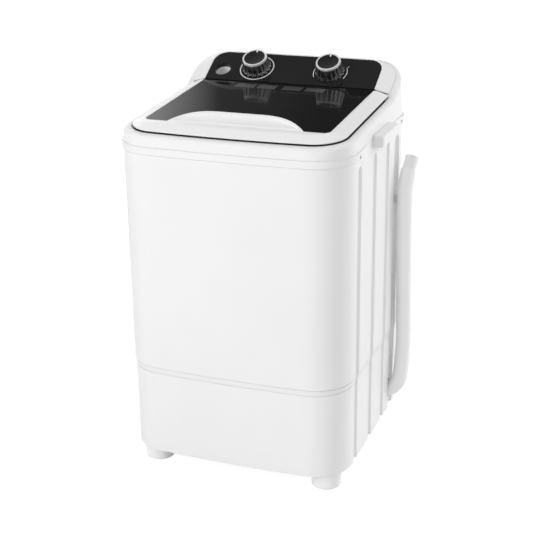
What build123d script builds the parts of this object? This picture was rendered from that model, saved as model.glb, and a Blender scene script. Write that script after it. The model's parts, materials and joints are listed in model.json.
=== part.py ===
from build123d import *

import os
from math import asin, atan, cos, degrees, radians, sin, sqrt, tan

# Small single-tub top load washing machine. Millimetres, +Z up, the front faces -Y.
# Pieces are drawn about the middle of the cabinet and moved to the common origin when written.

# Cabinet
WIDTH = 420.0
DEPTH = 414.0
FRONT_BOW = 4.0
FRONT_CORNER_R = 71.0
REAR_CORNER_R = 60.0
FOOT_HEIGHT = 36.0
CABINET_HEIGHT = 581.0
WALL = 3.0
STEP_HEIGHT = 159.0
STEP_BAND = 11.0
STEP_INSET = 2.0
STEP_GROOVE_WIDTH = 1.2
STEP_GROOVE_DEPTH = 1.0
BAND_HEIGHT = 14.0
BAND_PROUD = 3.0
BAND_CHAMFER = 2.0
BAND_WAIST_FRONT = 150.0
BAND_WAIST_REAR = 128.0
FLUTE_WIDTH = 20.0
FLUTE_DEPTH = 8.0
FLUTE_FROM_FRONT = (91.0, 183.0, 266.0)
WIDE_FLUTE_WIDTH = 32.0
WIDE_FLUTE_DEPTH = 10.0
WIDE_FLUTE_FROM_REAR = 86.0
CORNER_FLUTE_ANGLE = 40.0
LEDGE_BELOW_SEAM = 24.0
LEDGE_WIDTH = 14.0
BOTTOM_FLANGE = 58.0
BOTTOM_OPENING_R = 60.0
VENT_ROWS = 6
VENT_PITCH = 13.0
VENT_LENGTH = 70.0
VENT_HEIGHT = 5.0
VENT_SPACING = 90.0
VENT_ABOVE_BOTTOM = 80.0

# Feet, base and bottom cover
FOOT_D = 57.0
FOOT_TIP_D = 53.0
FOOT_FROM_SIDE = 44.0
FOOT_FROM_FRONT = 52.0
FOOT_FROM_REAR = 44.0
FOOT_STUD_D = 12.0
FOOT_STUD_LENGTH = 14.0
FOOT_FILLET = 3.0
BASE_THICKNESS = 4.0
BASE_RIM = 20.0
COVER_THICKNESS = 2.0
COVER_LIP = 8.0
COVER_SLOTS = 9
COVER_SLOT_PITCH = 20.0

# Lifting handles
HANDLE_LENGTH = 107.0
HANDLE_FROM_FRONT = 166.0
HANDLE_PROUD = 18.0
HANDLE_ABOVE_SEAM = 7.0
HANDLE_BELOW_SEAM = 13.0
HANDLE_WALL = 3.0
HANDLE_CORNER_R = 9.0
HANDLE_FILLET = 4.0

# Top frame, lid and hood
FRAME_INSET = 0.5
FRAME_DRAFT = 4.5
FRAME_EDGE_R = 8.0
FRAME_TOP_RISE = 110.0
SKIRT_LENGTH = 20.0
SKIRT_WALL = 2.5
HINGE_FROM_REAR = 99.0
HINGE_ABOVE_SEAM = 53.0
LID_TILT = 3.8
PANEL_TILT = 30.4
LID_DROP = 10.0
RIM_DROP = 12.5
RIM_WIDTH = 13.7
HOOD_SWEEP_R = 30.0
RECESS_DEPTH = 4.0
DECK_WALL = 3.0
MOUTH_SIDE = 52.0
MOUTH_FRONT = 52.0
MOUTH_REAR_GAP = 26.0
MOUTH_R = 26.0
COLLAR_WALL = 2.5
COLLAR_END = 17.0

# Lid
LID_GAP = 2.5
LID_EDGE = 2.0
LID_SLOPE = 21.8
WINDOW_SIDE = 42.0
WINDOW_FRONT = 54.0
WINDOW_THICKNESS = 4.0
WINDOW_LEDGE = 6.0
WINDOW_R = 12.0
LID_WALL = 3.0
ROLL_R = LID_DROP / 2
HANDLE_ARCH_HALF = 124.0
HANDLE_TOP_HALF = 30.0
HANDLE_REACH = 32.0
HANDLE_RISE = 13.0
HANDLE_RIM = 5.0
SCOOP_SAG = 3.0
SEAL_WIDTH = 8.5
LUG_X = 110.0
LUG_WIDTH = 13.4
LUG_SIDE_GAP = 0.4
LUG_REACH = 6.0
PIN_D = 4.0
PIN_LENGTH = 40.0

# Control panel
BEZEL_GAP = 0.8
BEZEL_FRONT = 2.5
BEZEL_TOP = 90.0
BEZEL_CORNER_R = 50.0
BEZEL_LIP = 14.0
PANEL_HALF = 168.0
PANEL_TOP = 81.0
PANEL_CORNER_R = 27.0
PANEL_THICKNESS = 2.5
PANEL_MARGIN = 3.0
BEZEL_SKIN = 2.5
KNOB_X = 73.0
KNOB_UP = 40.0
KNOB_BASE_D = 56.0
KNOB_TOP_D = 47.0
KNOB_HEIGHT = 22.0
KNOB_LIFT = 1.0
KNOB_FLUTES = 18
KNOB_FLUTE_R = 3.6
KNOB_RING_HEIGHT = 3.5
KNOB_CAP_D = 39.6
KNOB_CAP_HEIGHT = 2.8
KNOB_DISH = 1.5
POINTER_WIDTH = 3.0
SHAFT_D = 6.0
DIAL_RING_D = 67.0
DIAL_RING_WIDTH = 2.0
DIAL_RING_HEIGHT = 0.6
INLET_FROM_SIDE = 69.0
INLET_UP = 31.5
INLET_D = 31.5
CHUTE_WALL = 2.0
CHUTE_NECK = 25.0
CHUTE_BEND_R = 28.0
CHUTE_END = 12.0
CHUTE_INWARD = 22.0
TIMER_SIZE = 54.0
TIMER_DEPTH = 36.0
SELECTOR_SIZE = 40.0
SELECTOR_DEPTH = 24.0
CASE_R = 5.0

# Wash tub and drive
TUB_CLEARANCE = 34.0
TUB_DRAFT = 8.0
TUB_CORNER_R = 58.0
TUB_WALL = 3.0
TUB_DEPTH = 346.0
TUB_FLOOR = 4.0
PULSATOR_D = 268.0
PULSATOR_GAP = 4.0
WELL_DEPTH = 16.0
PULSATOR_LIFT = 9.0
PULSATOR_RIM = 5.0
PULSATOR_DOME = 32.0
PULSATOR_DOME_D = 80.0
PULSATOR_RIBS = 6
RIB_WIDTH = 16.0
RIB_RISE = 14.0
DRIVE_SHAFT_D = 14.0
RUN_CLEARANCE = 0.06
SEAL_D = 36.0
HUB_WALL = 5.0
HUB_RISE = 7.0
BOSS_D = 22.0
BOSS_X = 96.0
BOSS_Y = 70.0
BRACKET_DROP = 32.0
BRACKET_THICKNESS = 3.0
BRACKET_EDGE = 16.0
BOLT_D = 6.0
HOUSING_D = 48.0
HOUSING_FLANGE_D = 92.0
HOUSING_FLANGE = 6.0
HOUSING_BELOW = 70.0
BUSH_D = 22.0
BUSH_LENGTH = 20.0
PULLEY_D = 150.0
PULLEY_WIDTH = 16.0
PULLEY_GAP = 24.0
GROOVE_DEPTH = 9.0
GROOVE_TOP = 12.0
GROOVE_BOTTOM = 8.8
BELT_HEIGHT = 8.0
BELT_SEAT = 0.6
BELT_SINK = 1.5
MOTOR_PULLEY_D = 44.0
MOTOR_OFFSET = 118.0
MOTOR_D = 112.0
MOTOR_HEIGHT = 67.0
MOTOR_FLANGE = 3.0
MOTOR_SHAFT_D = 10.0
MOUNT_HEIGHT = 7.0
MOUNT_D = 16.0
MOUNT_SPREAD = 46.0
CAPACITOR_D = 36.0
CAPACITOR_HEIGHT = 72.0
CAPACITOR_X = -72.0
CAPACITOR_Y = 0.0
CLAMP_WALL = 1.5
CLAMP_HEIGHT = 14.0

# Drain
DRAIN_WALL = 3.0
PORT_D = 30.0
PORT_LENGTH = 20.0
GRATE_D = 36.0
GRATE_THICKNESS = 3.0
GRATE_HOLE_D = 5.0
HOSE_OD = 30.0
HOSE_ID = 24.0
FIT = 0.1
PIPE_ID = 18.0
PIPE_BEND_R = 22.0
SPIGOT_LENGTH = 12.0
OUTLET_Z = 63.0
OUTLET_RISE = 11.5
OUTLET_GAP = 0.5
CLIP_Z = 456.0
CLIP_HEIGHT = 10.0
CLIP_WALL = 2.2
CLIP_GAP = 0.8
CLIP_FOOT = 10.0
CLIP_MOUTH_ANGLE = 48.0
CUFF_D = 25.0
CUFF_LENGTH = 26.0
HOSE_CLAMP_WALL = 1.2
HOSE_CLAMP_WIDTH = 8.0

# Drain hose route from the drain pipe out of the right side and up to the cuff:
# off the right side, off the middle of the wide flute, above the floor
HOSE_OFFSETS = [
    (-62.0, 0.0, OUTLET_Z),
    (-8.4, 0.0, OUTLET_Z),
    (18.0, 0.0, 89.4),
    (18.0, 16.0, 136.0),
    (18.0, 20.0, 172.0),
    (18.0, 13.0, 257.0),
    (18.0, 2.0, 384.0),
    (18.0, -2.4, 471.0),
    (19.0, 0.0, 497.0),
    (21.0, 13.0, 519.0),
]

# Small fasteners and the mains inlet
SCREW_D = 4.0
SCREW_HEAD_D = 8.0
SCREW_HEAD = 2.5
SCREW_SINK = 1.5
FRAME_SCREW_DROP = 10.0
FRAME_SCREW_FRONT = 84.0
FRAME_SCREW_REAR = 66.0
GLAND_X = -110.0
GLAND_ABOVE_BOTTOM = 40.0
GLAND_D = 14.0

# Clearances
SLIDE_GAP = 0.3
HOLE_GAP = 0.2
CUT = 40.0

# Levels and lines that follow from the sizes above
SEAM_Z = FOOT_HEIGHT + CABINET_HEIGHT
LEDGE_Z = SEAM_Z - LEDGE_BELOW_SEAM
FLANGE_Z = LEDGE_Z + WALL
TUB_FLOOR_Z = FLANGE_Z - TUB_DEPTH
WELL_Z = TUB_FLOOR_Z - WELL_DEPTH
WELL_UNDER_Z = WELL_Z - TUB_FLOOR
BRACKET_Z = WELL_UNDER_Z - BRACKET_DROP
BRACKET_UNDER_Z = BRACKET_Z - BRACKET_THICKNESS
HOUSING_END_Z = BRACKET_UNDER_Z - HOUSING_BELOW
PULLEY_Z = HOUSING_END_Z - PULLEY_GAP - PULLEY_WIDTH / 2
MOTOR_TOP_Z = BRACKET_UNDER_Z - MOUNT_HEIGHT
PULSATOR_Z = WELL_Z + PULSATOR_LIFT
SIDE_X = WIDTH / 2
REAR_Y = DEPTH / 2
FRONT_Y = -DEPTH / 2
HINGE_Y = REAR_Y - HINGE_FROM_REAR
HINGE_Z = SEAM_Z + HINGE_ABOVE_SEAM
LID_INSET = RIM_WIDTH + LID_GAP
CORNER_X = SIDE_X - FRONT_CORNER_R
FRONT_ARC_R = (CORNER_X**2 + FRONT_BOW**2) / (2 * FRONT_BOW)
FRONT_ARC_Y = FRONT_Y - FRONT_BOW + FRONT_ARC_R
CORNER_Y = FRONT_ARC_Y - sqrt((FRONT_ARC_R - FRONT_CORNER_R) ** 2 - CORNER_X**2)
BEZEL_HALF = SIDE_X - RIM_WIDTH - BEZEL_GAP
BEZEL_BACK = -LID_DROP
LID_AXIS = (0, -ROLL_R, -ROLL_R)
MOTOR_Y = MOTOR_OFFSET
WINDOW_LINE = FRONT_Y - FRONT_BOW + WINDOW_FRONT - HINGE_Y
WINDOW_HALF = SIDE_X - WINDOW_SIDE
DRAIN_REACH = PULSATOR_D / 2 + PULSATOR_GAP + DRAIN_WALL + GRATE_D / 2
DRAIN_Y = REAR_Y - WIDE_FLUTE_FROM_REAR
DRAIN_X = sqrt(DRAIN_REACH**2 - DRAIN_Y**2)
INLET_X = INLET_FROM_SIDE - SIDE_X
HOSE_ROUTE = [(SIDE_X + x, DRAIN_Y + y, z) for x, y, z in HOSE_OFFSETS]
FEET = {
    "foot_front_left": (-SIDE_X + FOOT_FROM_SIDE, FRONT_Y + FOOT_FROM_FRONT),
    "foot_front_right": (SIDE_X - FOOT_FROM_SIDE, FRONT_Y + FOOT_FROM_FRONT),
    "foot_rear_left": (-SIDE_X + FOOT_FROM_SIDE, REAR_Y - FOOT_FROM_REAR),
    "foot_rear_right": (SIDE_X - FOOT_FROM_SIDE, REAR_Y - FOOT_FROM_REAR),
}


def sloping(tilt):
    """Plane through the hinge line, tilted up towards the rear."""
    return Plane(
        origin=(0, HINGE_Y, HINGE_Z),
        x_dir=(1, 0, 0),
        z_dir=(0, -sin(radians(tilt)), cos(radians(tilt))),
    )


LID_PLANE = sloping(LID_TILT)
PANEL_PLANE = sloping(PANEL_TILT)


def on_lid(shape):
    return LID_PLANE.location * shape


def on_panel(shape):
    return PANEL_PLANE.location * shape


def prism(face, low, high):
    """Straight solid over an XY outline, between two levels."""
    return extrude(Pos(0, 0, low) * face, high - low, dir=(0, 0, 1))


def front_curves(inset):
    """Bowed front and its two corners, left to right, and the right corner's end."""
    bow_centre = Vector(0, FRONT_ARC_Y)
    corner_centre = Vector(CORNER_X, CORNER_Y)
    outward = (corner_centre - bow_centre).normalized()
    halfway = (outward + Vector(1, 0)).normalized()
    start = bow_centre + outward * (FRONT_ARC_R - inset)
    middle = corner_centre + halfway * (FRONT_CORNER_R - inset)
    end = Vector(SIDE_X - inset, CORNER_Y)
    left = [Vector(-p.X, p.Y) for p in (start, middle, end)]
    front = Vector(0, FRONT_ARC_Y - FRONT_ARC_R + inset)
    curves = [
        ThreePointArc(left[2], left[1], left[0]),
        ThreePointArc(left[0], front, start),
        ThreePointArc(start, middle, end),
    ]
    return curves, end


def plan(inset, waist=0.0):
    """Plan outline of the cabinet, drawn in by an inset, with the sides drawn in further by a waist."""
    curves, end = front_curves(inset)
    rear = REAR_Y - inset
    turn = REAR_CORNER_R - inset
    bend = turn * sqrt(0.5)
    centre = Vector(SIDE_X - REAR_CORNER_R, REAR_Y - REAR_CORNER_R)
    side = [end]
    if waist:
        side.append(Vector(end.X - waist, FRONT_Y + BAND_WAIST_FRONT))
        side.append(Vector(end.X - waist, REAR_Y - BAND_WAIST_REAR))
    side.append(Vector(end.X, centre.Y))
    corner = [side[-1], centre + Vector(bend, bend), Vector(centre.X, rear)]
    for flip in (1, -1):
        points = [Vector(flip * p.X, p.Y) for p in side]
        curves += [Line(a, b) for a, b in zip(points, points[1:])]
        curves.append(ThreePointArc(*[Vector(flip * p.X, p.Y) for p in corner]))
    curves.append(Line(corner[2], Vector(-corner[2].X, rear)))
    return make_face(curves).face()


def lid_outline(inset):
    """Outline of the lid in its own plane: the cabinet's front, cut straight at the hinge line."""
    curves, end = front_curves(inset)
    rear = [Vector(end.X, HINGE_Y), Vector(-end.X, HINGE_Y)]
    left = Vector(-end.X, end.Y)
    curves += [Line(end, rear[0]), Line(rear[0], rear[1]), Line(rear[1], left)]
    return Pos(0, -HINGE_Y, 0) * make_face(curves).face()


def rounded(half, front, rear, radius):
    """Rectangle with round corners, between a front and a rear line."""
    return Pos(0, (front + rear) / 2) * RectangleRounded(2 * half, rear - front, radius)


def arched(half, bottom, top, radius):
    """Outline on the control slope: straight at the bottom, round at the two upper corners."""
    square = Pos(0, (bottom + top) / 2) * Rectangle(2 * half, top - bottom)
    return fillet(square.vertices().group_by(Axis.Y)[-1], radius).face()


def flute(width, depth, grow):
    """Round groove up a wall that faces +X, with a round top under the ledge; grown for its inner face."""
    radius = (width**2 / 4 + depth**2) / (2 * depth)
    end = LEDGE_Z - WALL - radius
    groove = prism(Circle(radius + grow), -CUT, end) + Pos(0, 0, end) * Sphere(radius + grow)
    return Pos(radius - depth, 0, 0) * groove


def corner_flutes(grow):
    """Grooves on the two rear corners."""
    shape = flute(FLUTE_WIDTH, FLUTE_DEPTH, grow)
    across = SIDE_X - REAR_CORNER_R + REAR_CORNER_R * cos(radians(CORNER_FLUTE_ANGLE))
    y = REAR_Y - REAR_CORNER_R + REAR_CORNER_R * sin(radians(CORNER_FLUTE_ANGLE))
    right = Pos(across, y, 0) * Rot(0, 0, CORNER_FLUTE_ANGLE)
    left = Pos(-across, y, 0) * Rot(0, 0, 180 - CORNER_FLUTE_ANGLE)
    return [right * shape, left * shape]


def flutes(grow):
    """All grooves of the cabinet: three and a wide one on each side, and one on each rear corner."""
    narrow = flute(FLUTE_WIDTH, FLUTE_DEPTH, grow)
    wide = flute(WIDE_FLUTE_WIDTH, WIDE_FLUTE_DEPTH, grow)
    shapes = [(narrow, FRONT_Y + y) for y in FLUTE_FROM_FRONT] + [(wide, DRAIN_Y)]
    placed = corner_flutes(grow)
    for shape, y in shapes:
        placed.append(Pos(SIDE_X, y, 0) * shape)
        placed.append(Pos(-SIDE_X, y, 0) * Rot(0, 0, 180) * shape)
    return placed


def frame_screw_places():
    """Screw seats on the sides, with +Z pointing out of the cabinet."""
    z = SEAM_Z - FRAME_SCREW_DROP
    places = []
    for y in (FRONT_Y + FRAME_SCREW_FRONT, REAR_Y - FRAME_SCREW_REAR):
        places.append(Pos(SIDE_X - SCREW_SINK, y, z) * Rot(0, 90, 0))
        places.append(Pos(-SIDE_X + SCREW_SINK, y, z) * Rot(0, -90, 0))
    return places


def bottom_opening(lip):
    """Opening in the cabinet's bottom flange, widened by a lip."""
    half = SIDE_X - BOTTOM_FLANGE + lip
    reach = REAR_Y - BOTTOM_FLANGE + lip
    return rounded(half, -reach, reach, BOTTOM_OPENING_R + lip)


def hose_outlet():
    """Upright slot in the right side, in the wide flute, that the hose comes out of."""
    width = HOSE_OD + 2 * OUTLET_GAP
    slot = Plane.YZ * Rot(0, 0, 90) * SlotOverall(width + OUTLET_RISE, width)
    return Pos(SIDE_X, DRAIN_Y, OUTLET_Z + OUTLET_RISE / 2) * extrude(slot, CUT / 2, both=True)


def cabinet_shell():
    low = FOOT_HEIGHT
    step = low + STEP_HEIGHT
    upper = step + STEP_BAND
    body = prism(plan(STEP_INSET), low, step)
    body += loft([Pos(0, 0, step) * plan(STEP_INSET), Pos(0, 0, upper) * plan(0)], ruled=True)
    body += prism(plan(0), upper, SEAM_Z)
    band = prism(plan(-BAND_PROUD, BAND_PROUD), SEAM_Z - BAND_HEIGHT, SEAM_Z)
    body += chamfer(band.edges().group_by(Axis.Z)[0], BAND_CHAMFER)
    cavity = prism(plan(STEP_INSET + WALL), low + WALL, upper)
    cavity += prism(plan(WALL), upper, SEAM_Z + CUT)
    for z, inset in ((step, STEP_INSET), (upper, 0)):
        line = plan(-WALL) - plan(inset + STEP_GROOVE_DEPTH)
        body -= prism(line, z - STEP_GROOVE_WIDTH / 2, z + STEP_GROOVE_WIDTH / 2)
    for outer, inner in zip(flutes(0), flutes(WALL)):
        body -= outer
        cavity -= inner
    body -= cavity
    body -= hose_outlet()
    ledge = plan(WALL / 2) - plan(WALL + LEDGE_WIDTH)
    body += prism(ledge, LEDGE_Z - WALL, LEDGE_Z)
    body -= prism(bottom_opening(0), low - CUT, low + CUT)
    for x, y in FEET.values():
        body -= Pos(x, y, 0) * prism(Circle(FOOT_STUD_D / 2 + HOLE_GAP), low - CUT, low + CUT)
    for place in frame_screw_places():
        body -= place * prism(Circle(SCREW_HEAD_D / 2 + HOLE_GAP), 0, CUT)
        body -= place * prism(Circle(SCREW_D / 2 + HOLE_GAP), -WALL, CUT)
    vent = Plane.XZ * SlotOverall(VENT_LENGTH, VENT_HEIGHT)
    for row in range(VENT_ROWS):
        z = low + VENT_ABOVE_BOTTOM + row * VENT_PITCH
        for x in (-VENT_SPACING / 2, VENT_SPACING / 2):
            body -= Pos(x, REAR_Y, z) * extrude(vent, 2 * WALL, both=True)
    gland = Plane.XZ * Circle(GLAND_D / 2 + HOLE_GAP)
    body -= Pos(GLAND_X, REAR_Y, low + GLAND_ABOVE_BOTTOM) * extrude(gland, 2 * WALL, both=True)
    return body


def side_handle(side):
    front = FRONT_Y + HANDLE_FROM_FRONT
    low = SEAM_Z - HANDLE_BELOW_SEAM
    high = SEAM_Z + HANDLE_ABOVE_SEAM
    middle = front + HANDLE_LENGTH / 2
    block = prism(Rectangle(HANDLE_PROUD, HANDLE_LENGTH), low, high)
    upright = block.edges().filter_by(Axis.Z).group_by(Axis.X)[-1]
    block = fillet(upright, HANDLE_CORNER_R)
    top = [e for e in block.edges().group_by(Axis.Z)[-1] if e.center().X > HANDLE_WALL - HANDLE_PROUD / 2]
    block = fillet(top, HANDLE_FILLET)
    pocket = Rectangle(HANDLE_PROUD - 2 * HANDLE_WALL, HANDLE_LENGTH - 4 * HANDLE_WALL)
    block -= prism(pocket, low - CUT, high - HANDLE_WALL)
    placed = Pos(SIDE_X + HANDLE_PROUD / 2, middle, 0) * block
    return placed if side > 0 else mirror(placed, about=Plane.YZ)


def foot(x, y):
    stem = FOOT_HEIGHT + FOOT_STUD_LENGTH
    outline = [
        (0, 0),
        (FOOT_TIP_D / 2, 0),
        (FOOT_D / 2, FOOT_HEIGHT),
        (FOOT_STUD_D / 2, FOOT_HEIGHT),
        (FOOT_STUD_D / 2, stem),
        (0, stem),
    ]
    body = revolve(make_face(Plane.XZ * Polyline(*outline, close=True)), Axis.Z)
    body = fillet(body.edges().group_by(Axis.Z)[0], FOOT_FILLET)
    return Pos(x, y, 0) * body


def base_frame():
    low = FOOT_HEIGHT + WALL
    edge = STEP_INSET + WALL + WIDE_FLUTE_DEPTH + WALL
    body = prism(plan(edge), low, low + BASE_THICKNESS)
    rim = plan(edge) - plan(edge + BASE_THICKNESS)
    body += prism(rim, low, low + BASE_RIM)
    body -= prism(bottom_opening(0), low - CUT, low + CUT)
    lip = bottom_opening(BASE_THICKNESS) - bottom_opening(0)
    body += prism(lip, low, low + BASE_RIM)
    for x, y in FEET.values():
        body -= Pos(x, y, 0) * prism(Circle(FOOT_STUD_D / 2 + HOLE_GAP), low - CUT, low + CUT)
    for groove in corner_flutes(WALL + SLIDE_GAP):
        body -= groove
    clear = HOSE_OD / 2 + HOSE_CLAMP_WALL + SLIDE_GAP
    run = extrude(Plane.YZ * Circle(clear), SIDE_X - DRAIN_X)
    body -= Pos(DRAIN_X, DRAIN_Y, OUTLET_Z) * run
    return body


def cover_screw_places():
    """Screws on the middle of the cover's edges."""
    x = SIDE_X - BOTTOM_FLANGE + COVER_LIP / 2
    y = REAR_Y - BOTTOM_FLANGE + COVER_LIP / 2
    return [Pos(x, 0, 0), Pos(-x, 0, 0), Pos(0, y, 0), Pos(0, -y, 0)]


def bottom_cover():
    high = FOOT_HEIGHT
    body = prism(bottom_opening(COVER_LIP), high - COVER_THICKNESS, high)
    slot = SlotOverall(2 * COVER_SLOT_PITCH, COVER_SLOT_PITCH / 4)
    for i in range(COVER_SLOTS):
        y = (i - (COVER_SLOTS - 1) / 2) * COVER_SLOT_PITCH / 2
        for x in (-2 * COVER_SLOT_PITCH, 0, 2 * COVER_SLOT_PITCH):
            body -= Pos(1.2 * x, y, 0) * prism(slot, high - CUT, high + CUT)
    return body


def cover_screws():
    under = FOOT_HEIGHT - COVER_THICKNESS
    head = prism(Circle(SCREW_HEAD_D / 2), under - SCREW_HEAD / 2, under)
    return [place * head for place in cover_screw_places()]


def frame_block(inset, drop_lid, drop_panel):
    """Drafted block under the two sloping planes of the top, each lowered by a drop."""
    high = SEAM_Z + FRAME_TOP_RISE
    sections = [Pos(0, 0, SEAM_Z) * plan(inset), Pos(0, 0, high) * plan(inset + FRAME_DRAFT)]
    block = loft(sections, ruled=True)
    lid_slope = tan(radians(LID_TILT))
    panel_slope = tan(radians(PANEL_TILT))
    lid_z = HINGE_Z - drop_lid / cos(radians(LID_TILT))
    panel_z = HINGE_Z - drop_panel / cos(radians(PANEL_TILT))
    meet = (lid_z - panel_z) / (panel_slope - lid_slope)
    front = FRONT_Y - FRONT_BOW - CUT
    rear = REAR_Y + CUT
    ridge = [
        (front, lid_z + (front - HINGE_Y) * lid_slope),
        (HINGE_Y + meet, lid_z + meet * lid_slope),
        (rear, panel_z + (rear - HINGE_Y) * panel_slope),
    ]
    line = FilletPolyline(*ridge, radius=HOOD_SWEEP_R)
    roof = [(rear, high + CUT), (front, high + CUT)]
    walls = [Line(ridge[2], roof[0]), Line(roof[0], roof[1]), Line(roof[1], ridge[0])]
    above = Plane.YZ * make_face([*line.edges(), *walls])
    return block - extrude(above, WIDTH, both=True)


def mouth(grow):
    """Opening over the tub."""
    front = FRONT_Y + MOUTH_FRONT
    rear = HINGE_Y - MOUTH_REAR_GAP
    return rounded(SIDE_X - MOUTH_SIDE + grow, front - grow, rear + grow, MOUTH_R + grow)


def bezel_outline(shrink):
    return arched(BEZEL_HALF - shrink, BEZEL_FRONT, BEZEL_TOP - shrink, BEZEL_CORNER_R - shrink)


def is_rim(edge):
    """True for an edge round the top of the frame block: neither upright nor across the slope."""
    across = edge.geom_type == GeomType.LINE and abs(edge.tangent_at(0.5).X) > 0.99
    upright = abs(edge.tangent_at(0.5).Z) > 0.9
    inner = across and edge.center().Y < REAR_Y - CUT
    return edge.center().Z > SEAM_Z + CUT / 4 and not upright and not inner


def top_frame():
    body = frame_block(FRAME_INSET, RIM_DROP, LID_DROP)
    body = fillet([e for e in body.edges() if is_rim(e)], FRAME_EDGE_R)
    under_lid = RIM_DROP + RECESS_DEPTH + DECK_WALL
    under_panel = LID_DROP + RECESS_DEPTH + DECK_WALL
    body -= frame_block(FRAME_INSET + WALL, under_lid, under_panel)
    collar = mouth(COLLAR_WALL) - mouth(0)
    deck = frame_block(FRAME_INSET + WALL, under_lid - DECK_WALL / 2, under_panel)
    below = prism(mouth(COLLAR_WALL), SEAM_Z - CUT, SEAM_Z)
    body += prism(collar, SEAM_Z - COLLAR_END, HINGE_Z) & (deck + below)
    body -= prism(mouth(0), SEAM_Z - CUT, HINGE_Z + CUT)
    body -= on_lid(prism(lid_outline(RIM_WIDTH), -RIM_DROP - RECESS_DEPTH, CUT))
    body -= on_panel(prism(bezel_outline(-BEZEL_GAP), BEZEL_BACK, CUT))
    body -= on_panel(prism(bezel_outline(BEZEL_LIP), BEZEL_BACK - CUT, CUT))
    skirt = plan(WALL + SLIDE_GAP) - plan(WALL + SLIDE_GAP + SKIRT_WALL)
    body += prism(skirt, SEAM_Z - SKIRT_LENGTH, SEAM_Z + SKIRT_WALL)
    for place in frame_screw_places():
        body -= place * prism(Circle(SCREW_D / 2 + HOLE_GAP), -CUT / 2, 0)
    return body


def frame_screws():
    screw = prism(Circle(SCREW_HEAD_D / 2), 0, SCREW_HEAD)
    screw += prism(Circle(SCREW_D / 2), -WALL - SKIRT_WALL, 0)
    slot = Rectangle(SCREW_HEAD_D, SCREW_HEAD / 3) + Rectangle(SCREW_HEAD / 3, SCREW_HEAD_D)
    screw -= prism(slot, SCREW_HEAD / 2, CUT)
    return [place * screw for place in frame_screw_places()]


def lid_end():
    """What the rolled rear edge of the lid leaves free, for cutting."""
    corner = Pos(0, 0) * Rectangle(2 * ROLL_R, 4 * ROLL_R)
    keep = Pos(-ROLL_R, 0) * Circle(ROLL_R)
    outline = Plane.YZ * (corner - keep)
    return Pos(0, 0, -ROLL_R) * extrude(outline, WIDTH, both=True)


def handle_outline(grow):
    """Bell-shaped outline of the handle in the lid's plane, behind the window's front line."""
    front = WINDOW_LINE - LID_WALL
    back = WINDOW_LINE + HANDLE_REACH + grow
    half = HANDLE_ARCH_HALF + grow
    run = (half - HANDLE_TOP_HALF) / 3
    curves = []
    for flip in (1, -1):
        bend = [(flip * (half - i * run), back) for i in (1, 2, 3)]
        curves.append(Bezier((flip * half, WINDOW_LINE), *bend))
        curves.append(Line((flip * half, front), (flip * half, WINDOW_LINE)))
    curves.append(Line((HANDLE_TOP_HALF, back), (-HANDLE_TOP_HALF, back)))
    curves.append(Line((half, front), (-half, front)))
    return make_face(curves).face()


def window_face(half, front, radius, grow):
    """Window outline in the lid's plane: square at the hinge, round at the front, open round the handle."""
    square = Pos(0, front / 2) * Rectangle(2 * half, -front)
    return fillet(square.vertices().group_by(Axis.Y)[0], radius).face() - handle_outline(grow)


def lid_handle():
    """Grip on the front of the lid: a bell-shaped wedge that rises to its rear edge, scooped out."""
    back = WINDOW_LINE + HANDLE_REACH
    slope = HANDLE_RISE / HANDLE_REACH
    wedge = Polyline(
        (WINDOW_LINE, 0),
        (back + CUT, (HANDLE_REACH + CUT) * slope),
        (back + CUT, -LID_WALL),
        (WINDOW_LINE, -LID_WALL),
        close=True,
    )
    body = prism(handle_outline(0), -LID_WALL, CUT) & extrude(Plane.YZ * make_face(wedge), WIDTH, both=True)
    start = HANDLE_RIM
    end = HANDLE_REACH - HANDLE_RIM
    middle = HANDLE_REACH / 2
    dish = ThreePointArc(
        (WINDOW_LINE + start, start * slope),
        (WINDOW_LINE + middle, middle * slope - SCOOP_SAG),
        (WINDOW_LINE + end, end * slope),
    )
    over = Polyline(
        (WINDOW_LINE + end, end * slope),
        (WINDOW_LINE + end, CUT),
        (WINDOW_LINE + start, CUT),
        (WINDOW_LINE + start, start * slope),
    )
    scoop = extrude(Plane.YZ * make_face([dish, *over.edges()]), WIDTH, both=True)
    return body - (scoop & prism(handle_outline(-HANDLE_RIM), -LID_WALL, CUT))


def lid_frame():
    skirt = prism(lid_outline(LID_INSET), -LID_DROP, LID_EDGE - LID_DROP)
    edge = Pos(0, 0, LID_EDGE - LID_DROP) * lid_outline(LID_INSET)
    slope = [edge, lid_outline(LID_INSET + LID_SLOPE)]
    body = skirt + loft(slope, ruled=True)
    hollow = [
        Pos(0, 0, -LID_DROP - LID_WALL) * lid_outline(LID_INSET + LID_WALL),
        Pos(0, 0, -LID_WALL) * lid_outline(LID_INSET + LID_SLOPE + LID_WALL),
    ]
    wide = 2 * (WINDOW_HALF + LID_WALL)
    rails = Pos(0, WINDOW_LINE / 2) * Rectangle(wide, 2 * WINDOW_LEDGE - WINDOW_LINE)
    body -= loft(hollow, ruled=True) - prism(rails, -2 * LID_DROP, LID_DROP)
    body += lid_handle()
    body -= prism(window_face(WINDOW_HALF, WINDOW_LINE, WINDOW_R, 0), -WINDOW_THICKNESS, CUT)
    inner = WINDOW_HALF - WINDOW_LEDGE
    through = window_face(inner, WINDOW_LINE + WINDOW_LEDGE, WINDOW_R, WINDOW_LEDGE)
    body -= prism(through, -CUT, CUT)
    return on_lid(body - lid_end())


def hinge_axis_cylinder(radius, x, length):
    """Cylinder along the hinge axis, in the lid's plane."""
    bar = extrude(Plane.YZ * Circle(radius), length / 2, both=True)
    return Pos(x, LID_AXIS[1], LID_AXIS[2]) * bar


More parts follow.
